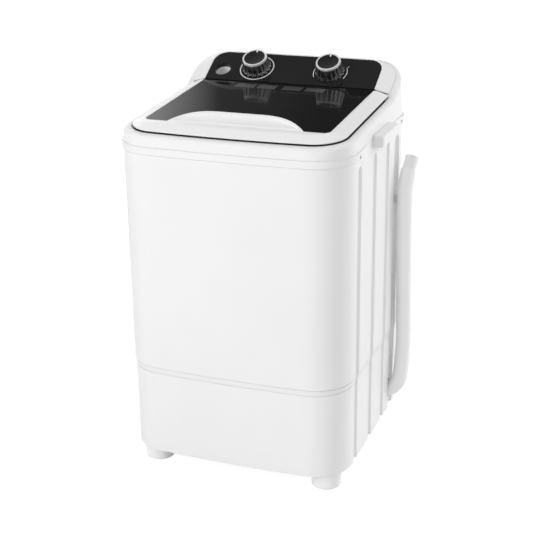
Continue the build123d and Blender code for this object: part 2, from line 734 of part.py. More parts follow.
def lid_window():
    half = WINDOW_HALF - SLIDE_GAP
    face = window_face(half, WINDOW_LINE + SLIDE_GAP, WINDOW_R, SLIDE_GAP)
    body = prism(face, -WINDOW_THICKNESS, 0)
    roll = WINDOW_HALF - WINDOW_LEDGE - SLIDE_GAP
    body += hinge_axis_cylinder(ROLL_R, 0, 2 * roll)
    body -= lid_end()
    slot = LUG_WIDTH + 2 * LUG_SIDE_GAP
    reach = ROLL_R + LUG_REACH
    for x in (LUG_X, -LUG_X):
        body -= Pos(x, -reach / 2, 0) * prism(Rectangle(slot, reach), -CUT, CUT)
        body -= hinge_axis_cylinder(PIN_D / 2, x, PIN_LENGTH)
    return on_lid(body)


def hinge_brackets():
    """Two knuckles that stand on the deck under the hinge line."""
    brackets = []
    for x in (LUG_X, -LUG_X):
        knuckle = hinge_axis_cylinder(ROLL_R, x, LUG_WIDTH)
        post = prism(Rectangle(LUG_WIDTH, ROLL_R), -RIM_DROP - RECESS_DEPTH, LID_AXIS[2])
        knuckle += Pos(x, LID_AXIS[1] + ROLL_R / 2, 0) * post
        knuckle -= hinge_axis_cylinder(PIN_D / 2 + RUN_CLEARANCE, x, PIN_LENGTH)
        brackets.append(on_lid(knuckle))
    return brackets


def hinge_pins():
    return [on_lid(hinge_axis_cylinder(PIN_D / 2, x, PIN_LENGTH)) for x in (LUG_X, -LUG_X)]


def lid_seal():
    """Strip on the deck under the lid's edge, open at the hinge."""
    ring = lid_outline(LID_INSET + SLIDE_GAP) - lid_outline(LID_INSET + SEAL_WIDTH)
    behind = Pos(0, -ROLL_R) * Rectangle(WIDTH, 4 * ROLL_R)
    return on_lid(prism(ring - behind, -RIM_DROP - RECESS_DEPTH, -LID_DROP - SLIDE_GAP))


def control_bezel():
    lower = BEZEL_BACK + LID_EDGE
    corner = PANEL_CORNER_R + PANEL_MARGIN
    crest = arched(PANEL_HALF + PANEL_MARGIN, BEZEL_FRONT, PANEL_TOP + PANEL_MARGIN, corner)
    body = prism(bezel_outline(0), BEZEL_BACK, lower)
    body += loft([Pos(0, 0, lower) * bezel_outline(0), crest], ruled=True)
    pocket = arched(PANEL_HALF, BEZEL_FRONT + LID_WALL, PANEL_TOP, PANEL_CORNER_R)
    body -= prism(pocket, BEZEL_BACK - CUT, -PANEL_THICKNESS - BEZEL_SKIN)
    seat = arched(PANEL_HALF, 0, PANEL_TOP, PANEL_CORNER_R)
    body -= prism(seat, -PANEL_THICKNESS, CUT)
    for x in (-KNOB_X, KNOB_X):
        body -= Pos(x, KNOB_UP, 0) * prism(Circle(SHAFT_D / 2 + RUN_CLEARANCE), -CUT, CUT)
    body -= Pos(INLET_X, INLET_UP, 0) * prism(Circle(INLET_D / 2), -CUT, CUT)
    return on_panel(body)


def control_panel():
    half = PANEL_HALF - HOLE_GAP
    face = arched(half, BEZEL_FRONT, PANEL_TOP - HOLE_GAP, PANEL_CORNER_R - HOLE_GAP)
    body = prism(face, -PANEL_THICKNESS, 0)
    for x in (-KNOB_X, KNOB_X):
        body -= Pos(x, KNOB_UP, 0) * prism(Circle(SHAFT_D / 2 + HOLE_GAP), -CUT, CUT)
    body -= Pos(INLET_X, INLET_UP, 0) * prism(Circle(INLET_D / 2), -CUT, CUT)
    return on_panel(body)


def knob(x):
    """Fluted knob body, tapering up from its skirt."""
    low = KNOB_LIFT
    high = low + KNOB_HEIGHT
    lower = Pos(0, 0, low) * Circle(KNOB_BASE_D / 2).face()
    upper = Pos(0, 0, high) * Circle(KNOB_TOP_D / 2).face()
    skirt = loft([lower, upper])
    lean = degrees(atan((KNOB_BASE_D - KNOB_TOP_D) / 2 / KNOB_HEIGHT))
    groove = Pos(0, 0, low) * Rot(0, -lean, 0) * prism(Circle(KNOB_FLUTE_R), -CUT, CUT)
    reach = KNOB_BASE_D / 2 + KNOB_FLUTE_R / 3
    for place in PolarLocations(reach, KNOB_FLUTES):
        skirt -= place * groove
    skirt -= prism(Circle(SHAFT_D / 2), low - CUT, high - KNOB_HEIGHT / 4)
    return on_panel(Pos(x, KNOB_UP, 0) * skirt)


def knob_ring(x):
    """Bright rim on the knob, with a notch at the pointer."""
    low = KNOB_LIFT + KNOB_HEIGHT
    outer = KNOB_TOP_D / 2
    inner = KNOB_CAP_D / 2 + HOLE_GAP
    lip = inner + (outer - inner) * 0.8
    high = low + KNOB_RING_HEIGHT
    outline = [(inner, low), (outer, low), (lip, high), (inner, high)]
    ring = revolve(make_face(Plane.XZ * Polyline(*outline, close=True)), Axis.Z)
    mark = Pos(0, outer) * Rectangle(POINTER_WIDTH, 2 * (outer - inner))
    notch = prism(mark, high - KNOB_RING_HEIGHT / 2, low + CUT)
    return on_panel(Pos(x, KNOB_UP, 0) * (ring - notch))


def knob_cap(x):
    """Dished cap inside the rim."""
    low = KNOB_LIFT + KNOB_HEIGHT
    radius = KNOB_CAP_D / 2
    high = low + KNOB_CAP_HEIGHT
    dish = ThreePointArc((-radius, high), (0, high - KNOB_DISH), (radius, high))
    sides = Polyline((radius, high), (radius, low), (-radius, low), (-radius, high))
    right = Pos(radius / 2, low) * Rectangle(radius, CUT)
    half = Plane.XZ * (make_face([dish, *sides.edges()]) & right)
    return on_panel(Pos(x, KNOB_UP, 0) * revolve(half, Axis.Z))


def knob_shaft(x):
    low = -PANEL_THICKNESS - BEZEL_SKIN
    high = KNOB_LIFT + KNOB_HEIGHT - KNOB_HEIGHT / 4
    return on_panel(Pos(x, KNOB_UP, 0) * prism(Circle(SHAFT_D / 2), low, high))


def switch_case(x, size, depth):
    """Case of a rotary control, under the bezel."""
    high = -PANEL_THICKNESS - BEZEL_SKIN
    body = prism(RectangleRounded(size, size, CASE_R), high - depth, high)
    tag = Rectangle(size / 8, size / 40)
    for place in GridLocations(size / 4, size / 2, 3, 2):
        body += place * prism(tag, high - depth - size / 6, high - depth)
    return on_panel(Pos(x, KNOB_UP, 0) * body)


def timer_dial_ring():
    radius = DIAL_RING_D / 2
    ring = Circle(radius) - Circle(radius - DIAL_RING_WIDTH)
    return on_panel(Pos(-KNOB_X, KNOB_UP, 0) * prism(ring, 0, DIAL_RING_HEIGHT))


def chute(radius):
    """Solid along the chute: square off the inlet hole, then forward and inward over the tub."""
    back = -PANEL_THICKNESS - BEZEL_SKIN
    start = PANEL_PLANE.from_local_coords(Vector(INLET_X, INLET_UP, back))
    neck = PANEL_PLANE.from_local_coords(Vector(INLET_X, INLET_UP, back - CHUTE_NECK))
    end = Vector(INLET_X + CHUTE_INWARD, HINGE_Y + CHUTE_END, FLANGE_Z - CHUTE_END)
    path = FilletPolyline(start, neck, end, radius=CHUTE_BEND_R)
    return sweep(Plane(origin=start, z_dir=neck - start) * Circle(radius), path)


def inlet_chute():
    """Spout from the inlet hole down past the splash guard."""
    return chute(INLET_D / 2 + CHUTE_WALL) - chute(INLET_D / 2)


def splash_guard():
    """Plate over the rear of the tub, under the controls."""
    edge = WALL + SLIDE_GAP + SKIRT_WALL + SLIDE_GAP
    front = HINGE_Y - MOUTH_REAR_GAP
    rear_half = Pos(0, front + DEPTH / 2) * Rectangle(WIDTH, DEPTH)
    face = (plan(edge) & rear_half).face()
    return prism(face, FLANGE_Z, FLANGE_Z + SKIRT_WALL) - chute(INLET_D / 2 + CHUTE_WALL + HOLE_GAP)


def tub_face(shrink):
    half_x = SIDE_X - TUB_CLEARANCE - shrink
    half_y = REAR_Y - TUB_CLEARANCE - shrink
    return rounded(half_x, -half_y, half_y, TUB_CORNER_R - shrink).face()


def drafted(shrink, low, high):
    """Tub form between two levels, narrowing downwards."""
    depth = TUB_DEPTH + TUB_FLOOR
    narrow = shrink + TUB_DRAFT * (FLANGE_Z - low) / depth
    wide = shrink + TUB_DRAFT * (FLANGE_Z - high) / depth
    return loft([Pos(0, 0, low) * tub_face(narrow), Pos(0, 0, high) * tub_face(wide)], ruled=True)


def boss_places():
    return [Pos(x, y, 0) for x in (-BOSS_X, BOSS_X) for y in (-BOSS_Y, BOSS_Y)]


def wash_tub():
    under = TUB_FLOOR_Z - TUB_FLOOR
    well = PULSATOR_D / 2 + PULSATOR_GAP
    body = drafted(0, under, FLANGE_Z)
    flange = plan(WALL + SLIDE_GAP) - tub_face(TUB_WALL)
    body += prism(flange, LEDGE_Z, FLANGE_Z)
    body += prism(Circle(well + TUB_WALL), WELL_UNDER_Z, TUB_FLOOR_Z)
    for place in boss_places():
        body += place * prism(Circle(BOSS_D / 2), BRACKET_Z, WELL_UNDER_Z)
        body -= place * prism(Circle(BOLT_D / 2), BRACKET_Z, WELL_UNDER_Z - TUB_FLOOR)
    drain = Pos(DRAIN_X, DRAIN_Y, 0)
    body += drain * prism(Circle(PORT_D / 2), under - PORT_LENGTH, under)
    body -= drafted(TUB_WALL, TUB_FLOOR_Z, FLANGE_Z)
    body -= prism(Circle(well), WELL_Z, TUB_FLOOR_Z)
    body += prism(Circle(SEAL_D / 2 + HUB_WALL), WELL_Z, WELL_Z + HUB_RISE)
    body -= prism(Circle(SEAL_D / 2), WELL_UNDER_Z, WELL_Z + HUB_RISE)
    body -= drain * prism(Circle(HOSE_ID / 2), under - CUT, TUB_FLOOR_Z)
    body -= drain * prism(Circle(GRATE_D / 2), TUB_FLOOR_Z - GRATE_THICKNESS, TUB_FLOOR_Z + 1)
    return body


def drain_grate():
    body = prism(Circle(GRATE_D / 2 - HOLE_GAP / 2), TUB_FLOOR_Z - GRATE_THICKNESS, TUB_FLOOR_Z)
    hole = prism(Circle(GRATE_HOLE_D / 2), TUB_FLOOR_Z - CUT, TUB_FLOOR_Z + CUT)
    body -= hole
    for place in PolarLocations(GRATE_D / 4, 6):
        body -= place * hole
    return Pos(DRAIN_X, DRAIN_Y, 0) * body


def pulsator():
    """Ribbed disc: a shallow cone that rises to a round dome."""
    low = PULSATOR_Z
    rim = low + PULSATOR_RIM
    top = low + PULSATOR_DOME
    radius = PULSATOR_D / 2
    dome = PULSATOR_DOME_D / 2
    shoulder = rim + PULSATOR_RIM
    rise = top - shoulder
    round_r = (dome**2 + rise**2) / (2 * rise)
    half_turn = asin(dome / round_r) / 2
    bend = (round_r * sin(half_turn), top - round_r * (1 - cos(half_turn)))
    outline = Polyline((0, top), (0, low), (radius, low), (radius, rim), (dome, shoulder))
    cap = ThreePointArc((dome, shoulder), bend, (0, top))
    body = revolve(make_face(Plane.XZ * make_face([*outline.edges(), cap])), Axis.Z)
    length = radius - dome / 2
    ridge = Plane.YZ * Ellipse(RIB_WIDTH / 2, RIB_RISE)
    rib = Pos(dome / 2, 0, rim) * extrude(ridge, length - RIB_WIDTH / 2)
    ball = scale(Sphere(RIB_WIDTH / 2), by=(1, 1, 2 * RIB_RISE / RIB_WIDTH))
    end = Pos(radius - RIB_WIDTH / 2, 0, rim) * ball
    keep = prism(Circle(radius), low, top)
    for place in PolarLocations(0, PULSATOR_RIBS):
        body += place * ((rib + end) & keep)
    body -= prism(Circle(DRIVE_SHAFT_D / 2), low - CUT, top - PULSATOR_RIM * 2)
    body -= prism(Circle(BOLT_D / 2), low, top + CUT)
    return body - prism(Circle(BOLT_D + HOLE_GAP), top - SCREW_HEAD, top + CUT)


def pulsator_screw():
    top = PULSATOR_Z + PULSATOR_DOME
    seat = top - SCREW_HEAD
    head = prism(Circle(BOLT_D), seat, top)
    head = fillet(head.edges().group_by(Axis.Z)[-1], SCREW_HEAD / 2)
    return head + prism(Circle(BOLT_D / 2), top - PULSATOR_RIM * 4, seat)


def drive_shaft():
    top = PULSATOR_Z + PULSATOR_DOME - PULSATOR_RIM * 2
    body = prism(Circle(DRIVE_SHAFT_D / 2), PULLEY_Z - PULLEY_WIDTH, top)
    return body - prism(Circle(BOLT_D / 2), top - PULSATOR_RIM * 2, top + CUT)


def oil_seal():
    ring = Circle(SEAL_D / 2) - Circle(DRIVE_SHAFT_D / 2 + RUN_CLEARANCE)
    return prism(ring, WELL_UNDER_Z, WELL_Z + HUB_RISE)


def bearing_housing():
    body = prism(Circle(HOUSING_D / 2), HOUSING_END_Z, WELL_UNDER_Z)
    body += prism(Circle(HOUSING_FLANGE_D / 2), BRACKET_Z, BRACKET_Z + HOUSING_FLANGE)
    web = Rectangle(HOUSING_FLANGE_D - HOUSING_FLANGE, HOUSING_FLANGE / 2)
    for turn in range(4):
        body += Rot(0, 0, 45 * turn) * prism(web, BRACKET_Z, BRACKET_Z + 3 * HOUSING_FLANGE)
    return body - prism(Circle(BUSH_D / 2), HOUSING_END_Z, WELL_UNDER_Z)


def shaft_bushes():
    ring = Circle(BUSH_D / 2) - Circle(DRIVE_SHAFT_D / 2 + RUN_CLEARANCE)
    lower = prism(ring, HOUSING_END_Z, HOUSING_END_Z + BUSH_LENGTH)
    upper = prism(ring, WELL_UNDER_Z - BUSH_LENGTH, WELL_UNDER_Z)
    return [lower, upper]


def mount_places():
    spread = (-MOUNT_SPREAD, MOUNT_SPREAD)
    return [Pos(x, MOTOR_Y + y, 0) for x in spread for y in spread]


def motor_bracket():
    """Folded steel plate that hangs from the tub's bosses and carries the housing and the motor."""
    half = BOSS_X + BRACKET_EDGE
    front = -BOSS_Y - BRACKET_EDGE
    rear = MOTOR_Y + MOUNT_SPREAD + BRACKET_EDGE
    outline = rounded(half, front, -front, BRACKET_EDGE)
    outline += rounded(MOUNT_SPREAD + BRACKET_EDGE, front, rear, BRACKET_EDGE)
    body = prism(outline, BRACKET_UNDER_Z, BRACKET_Z)
    for x in (-half + BRACKET_THICKNESS / 2, half - BRACKET_THICKNESS / 2):
        fold = Pos(x, 0) * Rectangle(BRACKET_THICKNESS, 2 * BOSS_Y)
        body += prism(fold, BRACKET_UNDER_Z - BRACKET_EDGE, BRACKET_Z)
    body -= prism(Circle(HOUSING_D / 2 + HOLE_GAP), BRACKET_Z - CUT, BRACKET_Z + CUT)
    body -= Pos(0, MOTOR_Y, 0) * prism(Circle(MOUNT_SPREAD / 2), BRACKET_Z - CUT, BRACKET_Z + CUT)
    for place in [*boss_places(), *mount_places()]:
        body -= place * prism(Circle(BOLT_D / 2 + HOLE_GAP), BRACKET_Z - CUT, BRACKET_Z + CUT)
    return body


def bolt(low, seat, high):
    """Hexagon bolt with its head below a seat."""
    return prism(RegularPolygon(BOLT_D, 6), low, seat) + prism(Circle(BOLT_D / 2), seat, high)


def bracket_bolts():
    body = bolt(BRACKET_UNDER_Z - BOLT_D * 0.7, BRACKET_UNDER_Z, BRACKET_Z + BRACKET_DROP / 2)
    return [place * body for place in boss_places()]


def motor_mounts():
    ring = Circle(MOUNT_D / 2) - Circle(BOLT_D / 2 + HOLE_GAP)
    body = prism(ring, MOTOR_TOP_Z, BRACKET_UNDER_Z)
    return [place * body for place in mount_places()]


def motor_bolts():
    seat = MOTOR_TOP_Z - MOTOR_FLANGE
    body = bolt(seat - BOLT_D * 0.7, seat, BRACKET_Z + BOLT_D)
    return [place * body for place in mount_places()]


def motor_body():
    """Motor case: a finned barrel between two end bells, under a square flange."""
    low = MOTOR_TOP_Z - MOTOR_HEIGHT
    half = MOUNT_SPREAD + MOUNT_D / 2
    flange = RectangleRounded(2 * half, 2 * half, MOUNT_D / 2)
    body = prism(Circle(MOTOR_D / 2 - CASE_R), low, MOTOR_TOP_Z - MOTOR_FLANGE)
    body = chamfer(body.edges().group_by(Axis.Z)[0], CASE_R)
    band = MOTOR_HEIGHT / 4
    body += prism(Circle(MOTOR_D / 2), low + band, MOTOR_TOP_Z - band)
    for place in mount_places():
        notch = Pos(place.position.X, place.position.Y - MOTOR_Y, 0)
        body -= notch * prism(Circle(BOLT_D * 1.6), low - CUT, MOTOR_TOP_Z - MOTOR_FLANGE)
    body += prism(flange, MOTOR_TOP_Z - MOTOR_FLANGE, MOTOR_TOP_Z)
    for place in mount_places():
        notch = Pos(place.position.X, place.position.Y - MOTOR_Y, 0)
        body -= notch * prism(Circle(BOLT_D / 2 + HOLE_GAP), low, MOTOR_TOP_Z + CUT)
    body -= prism(Circle(MOTOR_SHAFT_D / 2 + RUN_CLEARANCE), low - CUT, low + MOTOR_HEIGHT / 2)
    return Pos(0, MOTOR_Y, 0) * body


def motor_shaft():
    low = PULLEY_Z - PULLEY_WIDTH
    high = MOTOR_TOP_Z - MOTOR_HEIGHT / 2 - SLIDE_GAP
    return Pos(0, MOTOR_Y, 0) * prism(Circle(MOTOR_SHAFT_D / 2), low, high)


def pulley(diameter, bore):
    """Grooved pulley with a hub, centred on its groove."""
    outer = diameter / 2
    half = PULLEY_WIDTH / 2
    root = outer - GROOVE_DEPTH
    outline = [
        (bore / 2, -half),
        (outer, -half),
        (outer, -GROOVE_TOP / 2),
        (root, -GROOVE_BOTTOM / 2),
        (root, GROOVE_BOTTOM / 2),
        (outer, GROOVE_TOP / 2),
        (outer, half),
        (bore, half),
        (bore, half + PULLEY_GAP / 4),
        (bore / 2, half + PULLEY_GAP / 4),
    ]
    return revolve(make_face(Plane.XZ * Polyline(*outline, close=True)), Axis.Z)


def drive_pulley():
    body = pulley(PULLEY_D, DRIVE_SHAFT_D)
    hole = prism(Circle(PULLEY_D / 9), -CUT, CUT)
    for place in PolarLocations(PULLEY_D / 3.8, 5):
        body -= place * hole
    return Pos(0, 0, PULLEY_Z) * body


def motor_pulley():
    return Pos(0, MOTOR_Y, PULLEY_Z) * pulley(MOTOR_PULLEY_D, MOTOR_SHAFT_D)


def belt_loop(inset):
    """Outline of the belt, drawn in from the pulleys' outer circles."""
    big = PULLEY_D / 2 - inset
    small = MOTOR_PULLEY_D / 2 - inset
    lean = asin((big - small) / MOTOR_OFFSET)
    out = Vector(cos(lean), sin(lean))
    far = Vector(0, MOTOR_Y)
    right = [out * big, far + out * small]
    left = [Vector(-p.X, p.Y) for p in right]
    return make_face(
        [
            ThreePointArc(left[0], (0, -big), right[0]),
            Line(right[0], right[1]),
            ThreePointArc(right[1], (0, MOTOR_Y + small), left[1]),
            Line(left[1], left[0]),
        ]
    )


def drive_belt():
    ring = belt_loop(BELT_SINK) - belt_loop(GROOVE_DEPTH - BELT_SEAT)
    return prism(ring, PULLEY_Z - BELT_HEIGHT / 2, PULLEY_Z + BELT_HEIGHT / 2)


def capacitor():
    body = prism(Circle(CAPACITOR_D / 2), BRACKET_UNDER_Z - CAPACITOR_HEIGHT, BRACKET_UNDER_Z)
    body = fillet(body.edges().group_by(Axis.Z)[0], CLAMP_WALL)
    return Pos(CAPACITOR_X, CAPACITOR_Y, 0) * body


def capacitor_clamp():
    """Strap round the capacitor with a leg up to the bracket."""
    inner = CAPACITOR_D / 2 + FIT
    low = BRACKET_UNDER_Z - CAPACITOR_HEIGHT / 2 - CLAMP_HEIGHT / 2
    body = prism(Circle(inner + CLAMP_WALL) - Circle(inner), low, low + CLAMP_HEIGHT)
    leg = Pos(inner + CLAMP_WALL / 2, 0) * Rectangle(CLAMP_WALL, CLAMP_HEIGHT)
    body += prism(leg, low, BRACKET_UNDER_Z) - prism(Circle(inner), low, BRACKET_UNDER_Z)
    return Pos(CAPACITOR_X, CAPACITOR_Y, 0) * body


def drain_pipe():
    """Pipe from the tub's drain port down and across to the hose."""
    top = TUB_FLOOR_Z - TUB_FLOOR - FIT
    end = HOSE_ROUTE[0][0] + SPIGOT_LENGTH
    route = [(DRAIN_X, DRAIN_Y, top), (DRAIN_X, DRAIN_Y, OUTLET_Z), (end, DRAIN_Y, OUTLET_Z)]
    path = FilletPolyline(*route, radius=PIPE_BEND_R)
    start = Plane(origin=route[0], z_dir=(0, 0, -1))
    outer = sweep(start * Circle((HOSE_ID - FIT) / 2), path)
    return outer - sweep(start * Circle(PIPE_ID / 2), path)


def hose_radii():
    """Bend radius at each inner point of the hose: as large as its two runs allow."""
    points = [Vector(*p) for p in HOSE_ROUTE]
    radii = []
    for a, b, c in zip(points, points[1:], points[2:]):
        shorter = min((b - a).length, (c - b).length)
        turn = (b - a).get_angle(c - b)
        radii.append(0.45 * shorter / tan(radians(turn / 2)))
    return radii


def drain_hose():
    radii = hose_radii()
    path = FilletPolyline(*HOSE_ROUTE, radius=radii)
    start = Plane(origin=HOSE_ROUTE[0], z_dir=Vector(*HOSE_ROUTE[1]) - Vector(*HOSE_ROUTE[0]))
    ring = start * (Circle(HOSE_OD / 2) - Circle(HOSE_ID / 2))
    hose = sweep(ring, path)
    expected = ring.area * path.length
    print("hose radii", [round(r, 1) for r in radii])
    print("hose length", round(path.length, 1), "volume", round(hose.volume), "of", round(expected))
    return hose


def hose_cuff():
    """Pale end piece pushed into the top of the hose."""
    end = Vector(*HOSE_ROUTE[-1])
    along = Plane(origin=end, z_dir=end - Vector(*HOSE_ROUTE[-2]))
    body = prism(Circle((HOSE_ID - FIT) / 2), -SPIGOT_LENGTH, 0)
    body += prism(Circle(CUFF_D / 2), 0, CUFF_LENGTH)
    return along.location * (body - prism(Circle(PIPE_ID / 2), -SPIGOT_LENGTH, CUFF_LENGTH))


def hose_clamp():
    """Band round the hose where it sits on the drain pipe."""
    start = Vector(*HOSE_ROUTE[0])
    along = Plane(origin=start, z_dir=Vector(*HOSE_ROUTE[1]) - start)
    inner = HOSE_OD / 2 + FIT
    band = Circle(inner + HOSE_CLAMP_WALL - FIT) - Circle(inner)
    body = prism(band, SCREW_HEAD / 2, SCREW_HEAD / 2 + HOSE_CLAMP_WIDTH)
    return along.location * body


def hose_at(z):
    """Middle of the hose at a height on its upright stretch."""
    for a, b in zip(HOSE_ROUTE, HOSE_ROUTE[1:]):
        if a[2] <= z <= b[2]:
            share = (z - a[2]) / (b[2] - a[2])
            return a[0] + share * (b[0] - a[0]), a[1] + share * (b[1] - a[1])


def hose_clip():
    """Hook on the right side that holds the hose from behind, open to the front."""
    low = CLIP_Z
    high = low + CLIP_HEIGHT
    x, y = hose_at((low + high) / 2)
    inner = HOSE_OD / 2 + CLIP_GAP
    outer = inner + CLIP_WALL
    foot_end = DRAIN_Y + WIDE_FLUTE_WIDTH / 2 + CLIP_FOOT
    foot = Pos(SIDE_X + CLIP_WALL / 2, (y + foot_end) / 2) * Rectangle(CLIP_WALL, foot_end - y)
    web = Pos((SIDE_X + x) / 2, y + outer / 2) * Rectangle(x - SIDE_X, outer)
    behind = Pos(x, y + outer) * Rectangle(2 * outer, 2 * outer)
    hook = Pos(x, y) * Circle(outer) & behind
    aside = Rot(0, 0, CLIP_MOUTH_ANGLE) * Pos(outer, -outer) * Rectangle(2 * outer, 2 * outer)
    face = foot + web + hook - Pos(x, y) * Circle(inner) - Pos(x, y) * aside
    return prism(face, low, high)


def cord_gland():
    place = Pos(GLAND_X, REAR_Y, FOOT_HEIGHT + GLAND_ABOVE_BOTTOM) * Rot(-90, 0, 0)
    body = prism(Circle(GLAND_D / 2), -2 * WALL, 0)
    body += prism(Circle(GLAND_D / 2 + WALL), 0, WALL)
    return place * (body - prism(Circle(GLAND_D / 4), -CUT, CUT))


def pieces():
    """Every piece by name; a list holds the solids of a group."""
    made = {
        "cabinet_shell": cabinet_shell(),
        "side_handle_left": side_handle(-1),
        "side_handle_right": side_handle(1),
        "base_frame": base_frame(),
        "bottom_cover": bottom_cover(),
        "cover_screws": cover_screws(),
        "top_frame": top_frame(),
        "frame_screws": frame_screws(),
        "lid_frame": lid_frame(),
        "lid_window": lid_window(),
        "lid_seal": lid_seal(),
        "hinge_brackets": hinge_brackets(),
        "hinge_pins": hinge_pins(),
        "control_bezel": control_bezel(),
        "control_panel": control_panel(),
        "timer_dial_ring": timer_dial_ring(),
        "timer_body": switch_case(-KNOB_X, TIMER_SIZE, TIMER_DEPTH),
        "selector_body": switch_case(KNOB_X, SELECTOR_SIZE, SELECTOR_DEPTH),
        "inlet_chute": inlet_chute(),
        "splash_guard": splash_guard(),
        "wash_tub": wash_tub(),
        "drain_grate": drain_grate(),
        "pulsator": pulsator(),
        "pulsator_screw": pulsator_screw(),
        "drive_shaft": drive_shaft(),
        "oil_seal": oil_seal(),
        "bearing_housing": bearing_housing(),
        "shaft_bushes": shaft_bushes(),
        "motor_bracket": motor_bracket(),
        "bracket_bolts": bracket_bolts(),
        "motor_mounts": motor_mounts(),
        "motor_bolts": motor_bolts(),
        "motor_body": motor_body(),
        "motor_shaft": motor_shaft(),
        "motor_pulley": motor_pulley(),
        "drive_pulley": drive_pulley(),
        "drive_belt": drive_belt(),
        "capacitor": capacitor(),
        "capacitor_clamp": capacitor_clamp(),
        "drain_pipe": drain_pipe(),
        "drain_hose": drain_hose(),
        "hose_cuff": hose_cuff(),
        "hose_clamp": hose_clamp(),
        "hose_clip": hose_clip(),
        "cord_gland": cord_gland(),
    }
    for name, (x, y) in FEET.items():
        made[name] = foot(x, y)
    for name, x in (("timer", -KNOB_X), ("selector", KNOB_X)):
        made[f"{name}_knob"] = knob(x)
        made[f"{name}_knob_ring"] = knob_ring(x)
        made[f"{name}_knob_cap"] = knob_cap(x)
        made[f"{name}_shaft"] = knob_shaft(x)
    return made


FREE_HOSE = ("drain_hose", "hose_cuff")


def main():
    os.makedirs("parts", exist_ok=True)
    made = pieces()
    groups = {name: shape if isinstance(shape, list) else [shape] for name, shape in made.items()}
    boxes = [s.bounding_box() for name, group in groups.items() if name not in FREE_HOSE for s in group]
    across = (min(b.min.X for b in boxes) + max(b.max.X for b in boxes)) / 2
    along = (min(b.min.Y for b in boxes) + max(b.max.Y for b in boxes)) / 2
    for name, group in groups.items():
        moved = [Pos(-across, -along, 0) * solid for shape in group for solid in shape.solids()]
        export_step(moved[0] if len(moved) == 1 else Compound(moved), f"parts/{name}.step")
    print("middle of the width and depth", round(across, 4), round(along, 4))


main()
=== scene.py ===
import json
from math import atan2, cos, radians, sin

import bmesh
import bpy
from mathutils import Matrix, Vector


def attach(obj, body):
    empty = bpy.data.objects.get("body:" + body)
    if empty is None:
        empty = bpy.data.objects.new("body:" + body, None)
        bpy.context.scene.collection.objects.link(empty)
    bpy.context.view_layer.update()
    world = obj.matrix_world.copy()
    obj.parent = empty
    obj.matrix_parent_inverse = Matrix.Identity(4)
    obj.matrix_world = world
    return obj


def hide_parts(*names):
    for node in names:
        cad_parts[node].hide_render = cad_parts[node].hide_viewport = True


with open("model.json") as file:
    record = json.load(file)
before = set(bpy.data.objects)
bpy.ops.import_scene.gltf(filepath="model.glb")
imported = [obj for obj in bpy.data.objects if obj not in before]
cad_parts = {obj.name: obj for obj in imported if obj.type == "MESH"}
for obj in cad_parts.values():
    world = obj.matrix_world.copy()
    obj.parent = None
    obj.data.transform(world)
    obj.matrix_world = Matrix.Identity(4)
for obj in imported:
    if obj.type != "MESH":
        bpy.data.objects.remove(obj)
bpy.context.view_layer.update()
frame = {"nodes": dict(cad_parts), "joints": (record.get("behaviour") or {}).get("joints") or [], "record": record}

NODES = frame["nodes"]
JOINTS = {joint["name"]: joint for joint in frame["joints"]}
MOUNTS = {mount["name"]: mount for mount in frame["record"]["mounts"]}

# Cabinet's middle, which the pulsator turns in. All lengths are in metres.
MIDDLE_X, MIDDLE_Y, _ = JOINTS["agitator_spin"]["pos_m"]

# Rear edge of the lid's top, from the cabinet's middle, and the slope that falls from it to the front
LID_EDGE_Y = 0.108
LID_EDGE_Z = 0.670
LID_TILT = radians(3.8)


def axes(x, y, z, origin):
    """Matrix of a local frame, from its three axes and its origin."""
    m = Matrix.Identity(4)
    for i, axis in enumerate((x, y, z)):
        m.col[i] = (*axis, 0)
    m.col[3] = (*origin, 1)
    return m


def sloped(tilt, origin):
    """Local frame of a slope across the top: Y runs up it and Z stands off it."""
    return axes((1, 0, 0), (0, cos(tilt), sin(tilt)), (0, -sin(tilt), cos(tilt)), origin)


def from_middle(x, y, z):
    """Point measured from the cabinet's middle, on the floor."""
    return x + MIDDLE_X, y + MIDDLE_Y, z


LID = sloped(LID_TILT, from_middle(0, LID_EDGE_Y, LID_EDGE_Z))

# Panel: its local frame starts midway between the knobs, which turn about its normal
TIMER = Vector(JOINTS["timer_turn"]["pos_m"])
SELECTOR = Vector(JOINTS["selector_turn"]["pos_m"])
KNOB_X = (SELECTOR - TIMER).length / 2
_, AXIS_Y, AXIS_Z = JOINTS["selector_turn"]["axis"]
PANEL = sloped(atan2(AXIS_Y, -AXIS_Z), (TIMER + SELECTOR) / 2)

# Inlet hole, how far down from the panel's face its wall is painted black as painted shade for the shade just
# inside the hole, and the step from that painted shade to white
INLET = PANEL.inverted() @ Vector(MOUNTS["water_inlet"]["pos_m"])
INLET_R = MOUNTS["water_inlet"]["dims"]["r_mm"] / 1000
PAINTED_SHADE_DEPTH = 0.0075
PAINTED_SHADE_EDGE = 0.0005

# Black edge of the bezel: half the length of its front wall, where that wall ends, down the slope
# from the knobs, and the play that is allowed round the inlet hole
BEZEL_WALL_X = 0.1695
BEZEL_WALL_Y = -0.0338
INLET_PLAY = 0.001

# Materials: most of a noise lies between these two values
NOISE_LOW = 0.3
NOISE_HIGH = 0.7


def new_node(tree, kind, **values):
    """New node. A value goes to the input of that name or, where there is none, to the property."""
    node = tree.nodes.new(kind)
    for key, value in values.items():
        if key in node.inputs:
            node.inputs[key].default_value = value
        else:
            setattr(node, key, value)
    return node


